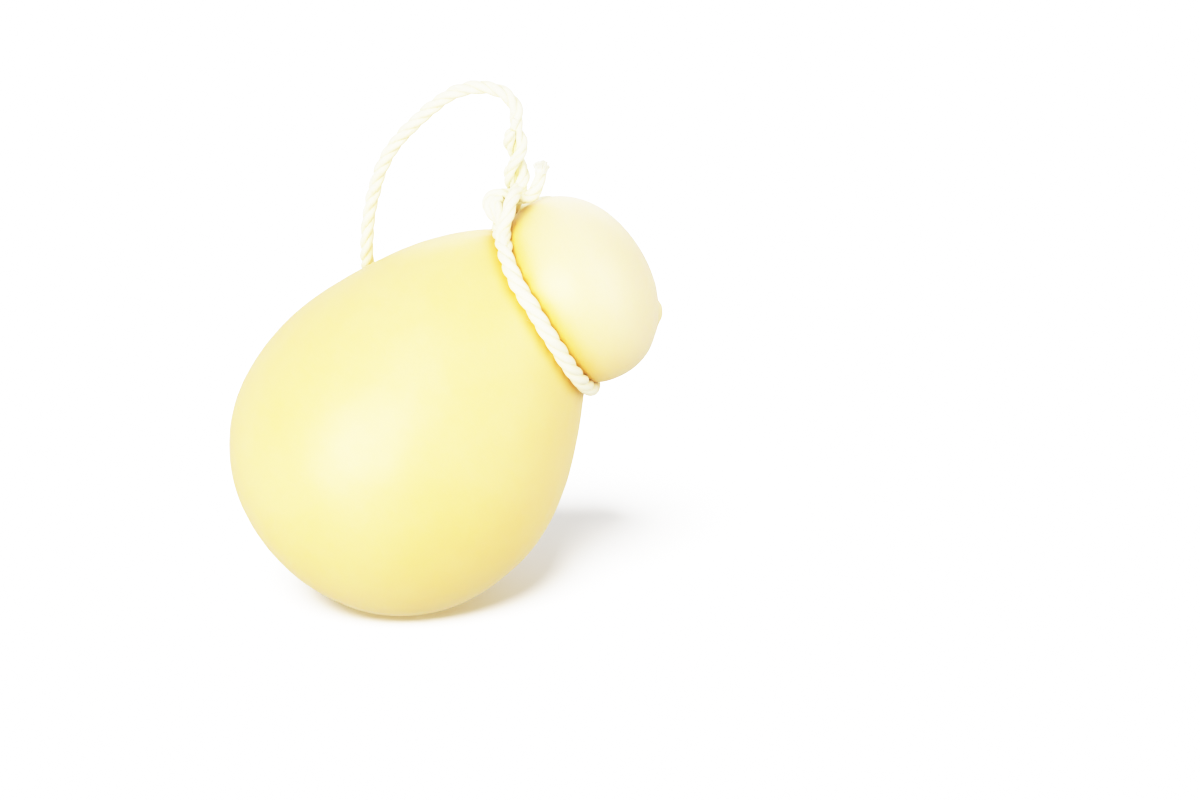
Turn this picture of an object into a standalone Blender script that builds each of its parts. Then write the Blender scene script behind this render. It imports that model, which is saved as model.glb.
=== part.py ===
"""Caciocavallo: an egg-shaped stretched-curd cheese with a small round head above its tied neck.

The cheese lies back on the side of its fat end, with the neck up to the right (+X).
Metres, +Z up. The origin is the point of the table under the small flat spot it rests on.
"""
import math

import bmesh
import bpy
from mathutils import Matrix, Vector

MM = 0.001

# The egg, measured along its own axis from the belly, where it is widest.
BELLY_RADIUS = 57.1 * MM
FAT_END_DEPTH = 58.5 * MM
FAT_END_POWER = 2.25
SHOULDER_DEPTH = 84.0 * MM
SHOULDER_POWER = 1.67

# The neck, where the cord is tied, and the head beyond it.
NECK_HEIGHT = 67.0 * MM
HEAD_BASE_RADIUS = 31.2 * MM
HEAD_RADIUS = 32.8 * MM
HEAD_WIDEST = 12.2 * MM
HEAD_TIP = 36.8 * MM
HEAD_POWER = 2.05

# The lean of the body's axis and of the neck's, up from the table.
BODY_LEAN = math.radians(45.0)
NECK_LEAN = math.radians(29.4)
BEND_POWER = 1.3
BEND_END = NECK_HEIGHT - 3.0 * MM

# The flat spot, and the pip left where the head was pinched shut.
FLAT_DEPTH = 2.2 * MM
PIP_RADIUS = 2.4 * MM
PIP_HEIGHT = 31.4 * MM
PIP_OFFSET = 19.6 * MM

# The cord.
CORD_RADIUS = 2.2 * MM
RING_RADIUS = 31.6 * MM
GAP = 0.4 * MM
CORD_SPACING = 2.4 * CORD_RADIUS

# The routes of the cord, in millimetres. One end climbs out of the ring, crosses over the knot,
# comes down behind it and goes on over the back of the head.
CROSSING_ROUTE = [
    (36.2, -16.0, 128.9), (35.0, -13.5, 131.3), (35.4, -11.8, 134.0), (36.7, -11.0, 137.7),
    (37.6, -9.5, 141.1), (38.8, -6.5, 143.9), (40.1, -2.0, 145.0), (40.7, 3.0, 143.7), (39.8, 8.0, 140.4),
    (38.2, 12.0, 136.6), (37.4, 15.4, 133.6), (39.4, 17.7, 133.0), (42.2, 19.3, 134.2),
    (45.4, 21.2, 135.2), (47.0, 22.2, 135.3), (48.4, 22.9, 135.2),
]

# The other end climbs beside it, turns over to the right through the knot and stands up as a tail.
SECOND_ROUTE = [
    (36.8, -18.7, 127.0), (34.9, -14.4, 130.0), (33.7, -11.0, 132.5), (32.7, -9.0, 135.0),
    (31.2, -6.5, 137.5), (30.3, -4.5, 140.1), (31.4, -3.2, 142.5), (34.1, -3.0, 143.4),
    (37.1, -2.5, 142.9), (40.0, -2.0, 142.2), (43.0, -1.5, 142.6), (45.0, -1.0, 144.5),
    (46.4, -1.0, 147.5), (47.7, -1.0, 150.9),
]

# A short turn of it fills the middle of the knot.
MIDDLE_ROUTE = [(33.9, -5.4, 133.6), (33.6, -4.0, 136.6), (34.4, -3.0, 139.6), (37.2, -2.0, 141.2)]

# The hanging loop goes up from the knot, over to the left, down behind the body, across its back
# and up behind the head to the end that crossed over the knot.
LOOP_ROUTE = [
    (39.5, 0.0, 168.1), (39.5, 0.0, 171.4), (36.6, 0.4, 176.0), (32.0, 1.0, 178.0), (27.2, 2.0, 178.6),
    (21.2, 3.0, 177.4), (16.2, 4.5, 174.8), (11.7, 6.0, 171.3), (6.6, 8.0, 166.6), (1.6, 10.0, 161.4),
    (-2.9, 12.0, 155.6), (-6.1, 14.0, 149.7), (-8.4, 16.0, 143.2), (-10.4, 18.0, 135.9),
    (-11.7, 20.0, 128.5), (-12.3, 22.0, 121.1), (-12.6, 26.0, 114.2), (-12.0, 35.0, 107.2),
    (-9.0, 44.0, 98.8), (-3.0, 51.2, 90.4), (5.0, 55.2, 84.0), (14.0, 56.2, 80.4), (23.0, 54.4, 80.2),
    (31.5, 50.2, 84.0), (38.6, 45.0, 91.0), (44.6, 40.8, 98.6), (48.7, 38.8, 106.0),
    (51.4, 37.0, 115.5), (53.4, 34.6, 123.5), (54.6, 30.6, 130.0), (54.0, 26.6, 133.8),
    (51.6, 24.6, 135.0), (49.0, 23.3, 135.2),
]

# The two strands wound round each other above the knot, in millimetres. One rises into the loop.
PAIR_X = 39.5
PAIR_FOOT = 141.0
PAIR_TOP = 167.5
PAIR_CROSSING = 155.0
PAIR_PITCH = 23.4
PAIR_REACH = 2.1
PAIR_STEPS = 14

TURN_STEPS = 64
CORD_SIDES = 3


def support(depth, radius, power, lean):
    """The lowest point of a leaning superellipse: its offset along X, and its depth."""
    dual = power / (power - 1.0)
    down_axis, down_side = depth * math.sin(lean), radius * math.cos(lean)
    low = (down_axis ** dual + down_side ** dual) ** (1.0 / dual)
    along = -depth * (down_axis / low) ** (dual - 1.0)
    side = radius * (down_side / low) ** (dual - 1.0)
    return along * math.cos(lean) + side * math.sin(lean), low


LOW_X, LOW_DEPTH = support(FAT_END_DEPTH, BELLY_RADIUS, FAT_END_POWER, BODY_LEAN)
BELLY = Vector((-LOW_X, 0.0, LOW_DEPTH - FLAT_DEPTH))
BODY_AXIS = Vector((math.cos(BODY_LEAN), 0.0, math.sin(BODY_LEAN)))
NECK_AXIS = Vector((math.cos(NECK_LEAN), 0.0, math.sin(NECK_LEAN)))
NECK_UP = Vector((-math.sin(NECK_LEAN), 0.0, math.cos(NECK_LEAN)))
NECK = BELLY + BODY_AXIS * BEND_END + NECK_AXIS * (NECK_HEIGHT - BEND_END)


def superellipse(angle, depth, radius, power):
    """A point (radius, height) of a quarter superellipse, from its side (0) to its tip."""
    return (radius * math.cos(angle) ** (2.0 / power), depth * math.sin(angle) ** (2.0 / power))


def quarter(steps):
    """Angles from just above 0 to 90 degrees."""
    return [math.pi / 2 * step / steps for step in range(1, steps + 1)]


def cheese_profile():
    """The outer side as (radius, height), from the tip of the head down to the fat end."""
    dome = [superellipse(angle, HEAD_TIP - HEAD_WIDEST, HEAD_RADIUS, HEAD_POWER) for angle in quarter(13)]
    points = [(r, NECK_HEIGHT + HEAD_WIDEST + h) for r, h in reversed(dome)]

    rear_steps = 5
    notch = CORD_RADIUS + GAP
    for step in range(rear_steps + 1):
        rise = 1.0 - step / rear_steps
        height = notch + (HEAD_WIDEST - notch) * rise
        points.append((HEAD_RADIUS - (HEAD_RADIUS - HEAD_BASE_RADIUS) * (1.0 - rise) ** 2.2,
                       NECK_HEIGHT + height))

    notch_steps = 7
    for step in range(1, notch_steps):
        angle = math.radians(-10.0 - 160.0 * step / notch_steps)
        points.append((RING_RADIUS + notch * math.sin(angle), NECK_HEIGHT + notch * math.cos(angle)))

    top_of_shoulder = NECK_HEIGHT - 0.95 * notch
    shoulder_steps = 16
    top_angle = math.asin((top_of_shoulder / SHOULDER_DEPTH) ** (SHOULDER_POWER / 2.0))
    for step in range(shoulder_steps, -1, -1):
        angle = top_angle * step / shoulder_steps
        points.append(superellipse(angle, SHOULDER_DEPTH, BELLY_RADIUS, SHOULDER_POWER))

    for angle in quarter(16):
        radius, depth = superellipse(angle, FAT_END_DEPTH, BELLY_RADIUS, FAT_END_POWER)
        points.append((radius, -depth))
    points[0] = (0.0, points[0][1])
    points[-1] = (0.0, points[-1][1])
    return points


def leaned(point):
    """Where a point of the upright turned cheese goes once the cheese leans and its neck bends."""
    share = min(max(point.z / BEND_END, 0.0), 1.0)
    lean = BODY_LEAN - (BODY_LEAN - NECK_LEAN) * share ** BEND_POWER
    side = Vector((math.sin(lean), 0.0, -math.cos(lean)))
    spine = BELLY + BODY_AXIS * min(point.z, BEND_END) + NECK_AXIS * max(point.z - BEND_END, 0.0)
    return spine + side * point.x + Vector((0.0, point.y, 0.0))


def material(name, colour, roughness):
    made = bpy.data.materials.new(name)
    made.use_nodes = True
    shader = made.node_tree.nodes["Principled BSDF"]
    shader.inputs["Base Color"].default_value = (*colour, 1.0)
    shader.inputs["Roughness"].default_value = roughness
    shader.inputs["Metallic"].default_value = 0.0
    return made


def collection(name):
    made = bpy.data.collections.new(name)
    bpy.context.scene.collection.children.link(made)
    return made


def mesh_object(name, mesh, home):
    obj = bpy.data.objects.new(name, mesh)
    home.objects.link(obj)
    return obj


def bmesh_object(name, bm, home):
    mesh = bpy.data.meshes.new(name)
    bm.to_mesh(mesh)
    bm.free()
    return mesh_object(name, mesh, home)


def applied(obj):
    """Replaces the object's mesh with its evaluated one, and clears its modifiers."""
    bpy.context.view_layer.update()
    seen = obj.evaluated_get(bpy.context.evaluated_depsgraph_get())
    mesh = bpy.data.meshes.new_from_object(seen)
    obj.modifiers.clear()
    obj.data = mesh
    return obj


def boolean(obj, operation, target):
    """Cuts with one object, or joins a whole collection, with the exact solver."""
    modifier = obj.modifiers.new(operation.title(), "BOOLEAN")
    modifier.operation = operation
    modifier.solver = "EXACT"
    if isinstance(target, bpy.types.Collection):
        modifier.operand_type = "COLLECTION"
        modifier.collection = target
    else:
        modifier.object = target


def millimetres(route):
    return [Vector(point) * MM for point in route]


def smooth_route(route, spacing=CORD_SPACING):
    """Points at an even spacing on a smooth curve through the route's own points."""
    ends = [route[0] * 2 - route[1]] + list(route) + [route[-1] * 2 - route[-2]]
    fine = []
    for before, start, end, after in zip(ends, ends[1:], ends[2:], ends[3:]):
        for step in range(16):
            t = step / 16
            fine.append(0.5 * (2 * start + (end - before) * t
                               + (2 * before - 5 * start + 4 * end - after) * t * t
                               + (3 * start - before - 3 * end + after) * t * t * t))
    fine.append(route[-1].copy())

    run = [0.0]
    for start, end in zip(fine, fine[1:]):
        run.append(run[-1] + (end - start).length)
    count = max(2, round(run[-1] / spacing))
    points, at = [], 0
    for step in range(count + 1):
        goal = run[-1] * step / count
        while at < len(run) - 2 and run[at + 1] < goal:
            at += 1
        share = (goal - run[at]) / (run[at + 1] - run[at])
        points.append(fine[at].lerp(fine[at + 1], share))
    return points


def cord_tube(name, route, home, tips=(1.0, 1.0), spacing=CORD_SPACING):
    """A cord along a route, with filled ends, as a mesh. Tips scale the radius at its two ends."""
    curve = bpy.data.curves.new(name, "CURVE")
    curve.dimensions = "3D"
    curve.bevel_depth = CORD_RADIUS
    curve.bevel_resolution = CORD_SIDES
    curve.use_fill_caps = True
    points = smooth_route(route, spacing)
    spline = curve.splines.new("POLY")
    spline.points.add(len(points) - 1)
    for target, point in zip(spline.points, points):
        target.co = (*point, 1.0)
    spline.points[0].radius = tips[0]
    spline.points[-1].radius = tips[1]

    guide = bpy.data.objects.new(name + "_guide", curve)
    home.objects.link(guide)
    bpy.context.view_layer.update()
    seen = guide.evaluated_get(bpy.context.evaluated_depsgraph_get())
    mesh = bpy.data.meshes.new_from_object(seen)
    tube = mesh_object(name, mesh, home)
    tube.matrix_world = guide.matrix_world
    bpy.data.objects.remove(guide)

    bm = bmesh.new()
    bm.from_mesh(mesh)
    bmesh.ops.remove_doubles(bm, verts=bm.verts, dist=0.01 * MM)
    bmesh.ops.recalc_face_normals(bm, faces=bm.faces)
    bm.to_mesh(mesh)
    bm.free()
    return tube


def make_cheese(home, cutters, rind):
    """The whole cheese, body, neck and head in one piece."""
    bm = bmesh.new()
    verts = [bm.verts.new((radius, 0.0, height)) for radius, height in cheese_profile()]
    for start, end in zip(verts, verts[1:]):
        bm.edges.new((start, end))
    cheese = bmesh_object("cheese", bm, home)
    turn = cheese.modifiers.new("Turn", "SCREW")
    turn.angle = 2 * math.pi
    turn.steps = turn.render_steps = TURN_STEPS
    turn.use_merge_vertices = True
    turn.merge_threshold = 0.01 * MM
    applied(cheese)
    for vert in cheese.data.vertices:
        vert.co = leaned(vert.co)

    bm = bmesh.new()
    bmesh.ops.create_icosphere(bm, subdivisions=3, radius=PIP_RADIUS)
    at = leaned(Vector((PIP_OFFSET, 0.0, NECK_HEIGHT + PIP_HEIGHT)))
    bmesh.ops.translate(bm, verts=bm.verts, vec=at)
    pip = bmesh_object("pip", bm, cutters)
    boolean(cheese, "UNION", pip)
    applied(cheese)
    bpy.data.objects.remove(pip)

    bm = bmesh.new()
    bmesh.ops.create_cube(bm, size=1.0)
    block = Matrix.Diagonal((0.12, 0.12, 0.02, 1.0))
    bmesh.ops.transform(bm, matrix=Matrix.Translation((0.0, 0.0, -0.01)) @ block, verts=bm.verts)
    table = bmesh_object("flat_spot_cutter", bm, cutters)
    table.hide_render = True
    table.display_type = "WIRE"
    boolean(cheese, "DIFFERENCE", table)
    cheese.data.materials.clear()
    cheese.data.materials.append(rind)
    cheese.data.shade_smooth()
    return cheese


def wound_strand(turned, top, straightens):
    """One of the two strands wound round each other: its half turn, its height, its end."""
    route = []
    for step in range(PAIR_STEPS + 1):
        height = PAIR_FOOT + (top - PAIR_FOOT) * step / PAIR_STEPS
        angle = turned + 2 * math.pi * (height - PAIR_CROSSING) / PAIR_PITCH
        swing = PAIR_REACH
        if straightens:
            swing *= min(1.0, max(0.0, (PAIR_TOP - 3.0 - height) / 5.0))
        route.append((PAIR_X + swing * math.sin(angle), -swing * math.cos(angle), height))
    return route


def make_neck_tie(home, cutters, cotton):
    """The ring round the neck, its knot, the wound pair above it and the short tail, fused."""
    bpy.ops.mesh.primitive_torus_add(major_radius=RING_RADIUS, minor_radius=CORD_RADIUS,
                                     major_segments=TURN_STEPS, minor_segments=10)
    tie = bpy.context.object
    tie.name = tie.data.name = "neck_tie"
    for held in tie.users_collection:
        held.objects.unlink(tie)
    home.objects.link(tie)
    tie.data.transform(Matrix.Translation(NECK) @ NECK_AXIS.to_track_quat("Z", "Y").to_matrix().to_4x4())

    pieces = collection("tie_pieces")
    cords = {
        "crossing": (CROSSING_ROUTE, (0.8, 1.0)),
        "second": (SECOND_ROUTE, (0.8, 1.4)),
        "middle": (MIDDLE_ROUTE, (0.8, 0.8)),
        "rising": (wound_strand(0.0, PAIR_TOP, True), (0.8, 1.0)),
        "wound": (wound_strand(math.pi, PAIR_TOP - 2.6, False), (0.8, 0.6)),
    }
    for name, (route, tips) in cords.items():
        cord_tube(name, millimetres(route), pieces, tips, spacing=1.2 * CORD_RADIUS)
    boolean(tie, "UNION", pieces)
    applied(tie)
    for piece in list(pieces.objects):
        bpy.data.objects.remove(piece)
    bpy.data.collections.remove(pieces)
    tie.data.materials.clear()
    tie.data.materials.append(cotton)
    tie.data.shade_smooth()
    return tie


def make_hanging_loop(home, cotton):
    loop = cord_tube("hanging_loop", millimetres(LOOP_ROUTE), home)
    loop.data.materials.append(cotton)
    loop.data.shade_smooth()
    return loop


def main():
    for obj in list(bpy.data.objects):
        bpy.data.objects.remove(obj)
    home = collection("caciocavallo")
    cutters = collection("cutters")
    rind = material("rind", (0.93, 0.84, 0.50), 0.42)
    cotton = material("cotton_cord", (0.93, 0.90, 0.80), 0.85)
    make_cheese(home, cutters, rind)
    make_neck_tie(home, cutters, cotton)
    make_hanging_loop(home, cotton)


main()
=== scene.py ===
"""Dresses a tied caciocavallo: its waxy rind, its twisted cord with knot and loop, and its studio.

Laid out as an add-on and run as a script. Metres, +Z up, the origin at the table under the cheese.
"""
import math
import random

import bmesh
import bpy
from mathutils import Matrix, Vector, noise


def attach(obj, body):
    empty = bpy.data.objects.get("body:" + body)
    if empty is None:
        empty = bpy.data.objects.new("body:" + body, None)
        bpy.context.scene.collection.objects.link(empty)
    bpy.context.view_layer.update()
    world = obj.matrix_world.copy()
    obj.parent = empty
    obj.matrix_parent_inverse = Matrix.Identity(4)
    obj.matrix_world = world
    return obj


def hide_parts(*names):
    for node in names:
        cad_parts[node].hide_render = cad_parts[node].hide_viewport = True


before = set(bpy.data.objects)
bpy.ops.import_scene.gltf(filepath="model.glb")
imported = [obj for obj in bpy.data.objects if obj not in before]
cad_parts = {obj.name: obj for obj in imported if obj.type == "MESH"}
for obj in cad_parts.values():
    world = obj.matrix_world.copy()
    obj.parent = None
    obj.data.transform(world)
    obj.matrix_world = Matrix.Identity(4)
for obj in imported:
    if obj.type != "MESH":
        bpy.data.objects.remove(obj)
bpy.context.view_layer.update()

bl_info = {
    "name": "Caciocavallo",
    "version": (1, 0, 0),
    "blender": (4, 5, 0),
    "location": "View3D > Sidebar > Caciocavallo",
    "description": "A tied caciocavallo with its twisted cord, knot, hanging loop and frayed tail",
    "category": "Object",
}

MM = 0.001
UP = Vector((0.0, 0.0, 1.0))

# The egg, the neck with its notch for the cord, the head, the lean and the pip's place, as the solid of
# the cheese has them. The notch's start and arc are in degrees.
BELLY_RADIUS = 57.1 * MM
FAT_END_DEPTH = 58.5 * MM
FAT_END_POWER = 2.25
SHOULDER_DEPTH = 84.0 * MM
SHOULDER_POWER = 1.67
NECK_HEIGHT = 67.0 * MM
HEAD_BASE_RADIUS = 31.2 * MM
HEAD_RADIUS = 32.8 * MM
HEAD_WIDEST = 12.2 * MM
HEAD_TIP = 36.8 * MM
HEAD_POWER = 2.05
BODY_LEAN = math.radians(45.0)
NECK_LEAN = math.radians(29.4)
BEND_POWER = 1.3
BEND_END = NECK_HEIGHT - 3.0 * MM
BELLY = Vector((1.52, 0.0, 57.88)) * MM
PIP_HEIGHT = 31.4 * MM
PIP_OFFSET = 19.6 * MM
CORD_RADIUS = 2.2 * MM
RING_RADIUS = 31.6 * MM
NOTCH_RADIUS = CORD_RADIUS + 0.4 * MM
NOTCH_START = -10.0
NOTCH_ARC = 160.0
SHOULDER_MEETS = 0.95

# Steps in which each part of the cheese's outline is drawn, and how the head's underside curves.
HEAD_STEPS = 60
UNDERSIDE_STEPS = 12
UNDERSIDE_POWER = 2.2
NOTCH_STEPS = 15
SHOULDER_STEPS = 70
FAT_END_STEPS = 80

# How the two edges of the groove are rounded: how far from the ring, and how strongly each time.
LIP_REACH = 9 * MM
LIP_EASE = 0.5
LIP_GAIN = 1.6

# The rind's relief: how fine its bumps are, the pleats at the neck, and where it is calm or flat.
BROAD_BUMPS = 24.0
MIDDLE_BUMPS = 52.0
MIDDLE_SHARE = 0.45
SMALL_BUMPS = 210.0
PLEATS_BELOW = 15 * MM
PLEATS_ABOVE = 9 * MM
PLEAT_FADE = 1.4
BROAD_PLEATS = (5.2, 18.0)
FINE_PLEATS = (12.5, 25.0)
FINE_SHARE = 0.5
CALM_AT_RING = 4.5 * MM
CALM_AT_TABLE = 6 * MM
FLAT_SPOT_LIMIT = 8 * MM
FLAT_SPOT_SOFTNESS = 0.9 * MM
MERGE_DISTANCE = 0.01 * MM

# The pip: its half widths, the ring of folds drawn in towards it, and how far both reach.
PIP_HALF_ACROSS = 2.8 * MM
PIP_HALF_ABOVE = 2.3 * MM
PIP_HALF_BELOW = 3.4 * MM
PIP_REACH = 16 * MM
PIP_REACH_INWARD = 20 * MM
FOLDS_FROM_PIP = 4.5 * MM
FOLDS_HALF = 3.5 * MM
FOLDS_SWIRL = 7 * MM
FOLDS_AROUND = 2.4
FOLDS_HEIGHT = 0.45
FOLDS_SUNK = 0.22

# The rind's colour zones: where the head's paler rind starts, and the reach and edge of the shade painted
# in and beside the groove.
PALE_FROM = 2 * MM
PALE_LENGTH = 22 * MM
PALE_POWER = 0.9
GROOVE_SHADE_ABOVE = (6.5 * MM, 3)
GROOVE_SHADE_BELOW = (4.6 * MM, 4)

BODY_AXIS = Vector((math.cos(BODY_LEAN), 0.0, math.sin(BODY_LEAN)))
NECK_AXIS = Vector((math.cos(NECK_LEAN), 0.0, math.sin(NECK_LEAN)))
NECK_UP = Vector((-math.sin(NECK_LEAN), 0.0, math.cos(NECK_LEAN)))
NECK = BELLY + BODY_AXIS * BEND_END + NECK_AXIS * (NECK_HEIGHT - BEND_END)

# The routes of the cord, in millimetres. The loop and the crossing strand follow their solids. The second
# strand keeps near its own, and the turns in the middle and back of the knot belong to this scene.
CROSSING_ROUTE = [
    (36.2, -16.0, 128.9), (35.0, -13.5, 131.3), (35.4, -11.8, 134.0), (36.7, -11.0, 137.7),
    (37.6, -9.5, 141.1), (38.8, -6.5, 143.9), (40.1, -2.0, 145.0), (40.7, 3.0, 143.7), (39.8, 8.0, 140.4),
    (38.2, 12.0, 136.6), (37.4, 15.4, 133.6), (39.4, 17.7, 133.0), (42.2, 19.3, 134.2),
    (45.4, 21.2, 135.2), (47.0, 22.2, 135.3), (48.4, 22.9, 135.2),
]
SECOND_ROUTE = [
    (36.8, -18.7, 127.0), (36.0, -14.6, 129.6), (35.6, -11.2, 131.9), (35.2, -8.5, 134.0),
    (33.8, -7.2, 136.2), (31.6, -6.5, 138.0), (30.3, -5.0, 140.2), (31.2, -3.6, 142.4),
    (33.9, -3.0, 143.4), (37.1, -2.5, 142.9), (40.2, -2.2, 142.2), (43.2, -2.0, 142.3),
    (45.5, -1.6, 144.0), (46.9, -1.3, 146.7), (47.5, -1.0, 149.6), (47.9, -1.0, 152.2),
]
MIDDLE_ROUTE = [
    (35.6, -7.0, 132.8), (34.4, -7.4, 135.6), (34.0, -7.0, 138.2), (32.9, -5.6, 140.4), (34.8, -4.2, 142.0),
]
BACK_ROUTE = [
    (32.6, 2.2, 134.6), (31.6, 1.2, 136.9), (32.0, -0.4, 139.0), (33.0, -1.2, 140.8), (35.0, -0.5, 142.0),
    (38.0, 0.5, 141.0),
]
LOOP_ROUTE = [
    (39.5, 0.0, 168.1), (39.5, 0.0, 171.4), (36.6, 0.4, 176.0), (32.0, 1.0, 178.0), (27.2, 2.0, 178.6),
    (21.2, 3.0, 177.4), (16.2, 4.5, 174.8), (11.7, 6.0, 171.3), (6.6, 8.0, 166.6), (1.6, 10.0, 161.4),
    (-2.9, 12.0, 155.6), (-6.1, 14.0, 149.7), (-8.4, 16.0, 143.2), (-10.4, 18.0, 135.9),
    (-11.7, 20.0, 128.5), (-12.3, 22.0, 121.1), (-12.6, 26.0, 114.2), (-12.0, 35.0, 107.2),
    (-9.0, 44.0, 98.8), (-3.0, 51.2, 90.4), (5.0, 55.2, 84.0), (14.0, 56.2, 80.4), (23.0, 54.4, 80.2),
    (31.5, 50.2, 84.0), (38.6, 45.0, 91.0), (44.6, 40.8, 98.6), (48.7, 38.8, 106.0),
    (51.4, 37.0, 115.5), (53.4, 34.6, 123.5), (54.6, 30.6, 130.0), (54.0, 26.6, 133.8),
    (51.6, 24.6, 135.0), (49.0, 23.3, 135.2),
]

# The two strands wound round each other, in millimetres, and the thin core between them, whose front side
# carries painted shade for the gaps between the strands.
PAIR_X = 39.5
PAIR_FOOT = 141.0
PAIR_TOP = 167.5
PAIR_CROSSING = 155.0
PAIR_PITCH = 23.4
PAIR_REACH = 2.45
PAIR_STEPS = 14
PAIR_STRAIGHT = 3.0
PAIR_STRAIGHTENING = 5.0
PAIR_SECOND_TOP = PAIR_TOP - 2.6
PAIR_SHADE_CORE = [(PAIR_X, 1.0, 143.0), (PAIR_X, 0.6, 149.0), (PAIR_X, 0.0, 155.0), (PAIR_X, 0.6, 161.0),
             (PAIR_X, 0.6, 166.0)]
PAIR_SHADE_CORE_THICKNESS = 0.62

# Where those strands press each other slimmer.
PAIR_MIDDLE = Vector((PAIR_X, 0.0, 154.5)) * MM
PAIR_HALF = 9.5 * MM
PAIR_SLIMMING = 0.20

# Where the ring is drawn towards the body, with the groove under it.
SAG_TURN = math.radians(52.0)
SAG_SPREAD = math.radians(24.0)
SAG_REACH = 10.0 * MM

# The lay of the cord: its steps, where the lay starts, how yarns wander, and how a cut end tapers.
CORD_STEP = 0.6 * MM
CORD_SIDES = 14
SPLINE_STEPS = 16
SECOND_LAY_START = 0.011
WOUND_LAY_START = 0.017
WANDER_BUMPS = 180.0
WANDER_APART = 7.3
END_TAPER = 3 * MM

# The fibre pattern along a tube: once round, along it, its swirl, and how far apart two tubes' lie.
FIBRE_ROUND = 4.2
FIBRE_LENGTH = 3.4 * MM
FIBRE_SWIRL = 4.6 * MM
FIBRE_APART = 9.1
RUN_APART = 0.37
HOLLOW_LEAST = 0.1 * MM

# The loose fibres. Each pair is a range that a fibre's shape is drawn from, its length in millimetres.
FIBRE_SIDES = 4
FIBRE_RADIUS = 0.055 * MM
STRAY_THICKNESS = [1.0, 0.95, 0.85, 0.7, 0.5, 0.2]
STRAY_ROOT = 0.93
STRAY_SLANT = (-0.5, 0.5)
STRAY_LENGTH = (1.6, 4.6)
STRAY_LIFT = (0.10, 0.75)
STRAY_CURL = (-0.5, 0.5)
STRAY_SHORTER = 0.25
STRAY_RISE = 1.9 * MM
STRAY_RISE_POWER = 1.6

# The tuft at the end of the tail, in the same way. The dome makes its outer fibres shorter.
TUFT_FIBRE_RADIUS = 0.22 * MM
TUFT_THICKNESS = [1.0, 1.0, 0.95, 0.85, 0.7, 0.4]
TUFT_ROOT = 2.4 * MM
TUFT_RADIUS = 2.0 * MM
TUFT_SPREAD = (-0.05, 0.35)
TUFT_LENGTH = (3.5, 4.3)
TUFT_DOME = (1.05, 0.35)
TUFT_BOW = (-0.5, 0.6)
TUFT_BOW_REACH = 1.1 * MM
TUFT_BOW_BACK = 0.4

# The soft lights, as their names and places, and the light that whitens the floor alone.
SOFT_LIGHTS = (("key", (-0.64, -1.35, 0.34)), ("fill", (1.25, -0.55, 0.60)), ("back", (0.20, 1.35, 0.95)))
SOFT_LIGHT_SIZE = 1.5
SOFT_LIGHT_AIM = Vector((0.02, 0.0, 0.08))
FLOOR_LIGHT_WAY = Vector((0.17, 0.70, -0.70))
FLOOR_LIGHT_ANGLE = math.radians(32.0)
FLOOR_GLOW = 0.06

# How bright the display shows each strength of light, up to the strength that shows as white.
WHITE_LIGHT = 3.0
RESPONSE = ((0.1, 0.06), (0.2, 0.15), (0.3, 0.265), (0.4, 0.40), (0.5, 0.53), (0.6, 0.64), (0.8, 0.79),
            (1.0, 0.885), (1.25, 0.94), (1.5, 0.968), (1.8, 0.985), (2.2, 0.998))
COMBINED_CURVE = 3

# The middle of the camera's view, from the middle of the belly, and the camera's sensor in millimetres.
VIEW_RIGHT = Vector((65.79, 0.0, 0.0)) * MM
VIEW_UP = 13.498 * MM
SENSOR_WIDTH = 36.0

# The numbers of the two colours and of the result among a colour Mix node's sockets.
FIRST_COLOUR = 6
SECOND_COLOUR = 7
MIXED_COLOUR = 2


# ---------------------------------------------------------------- sizes and colours a user would change

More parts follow.
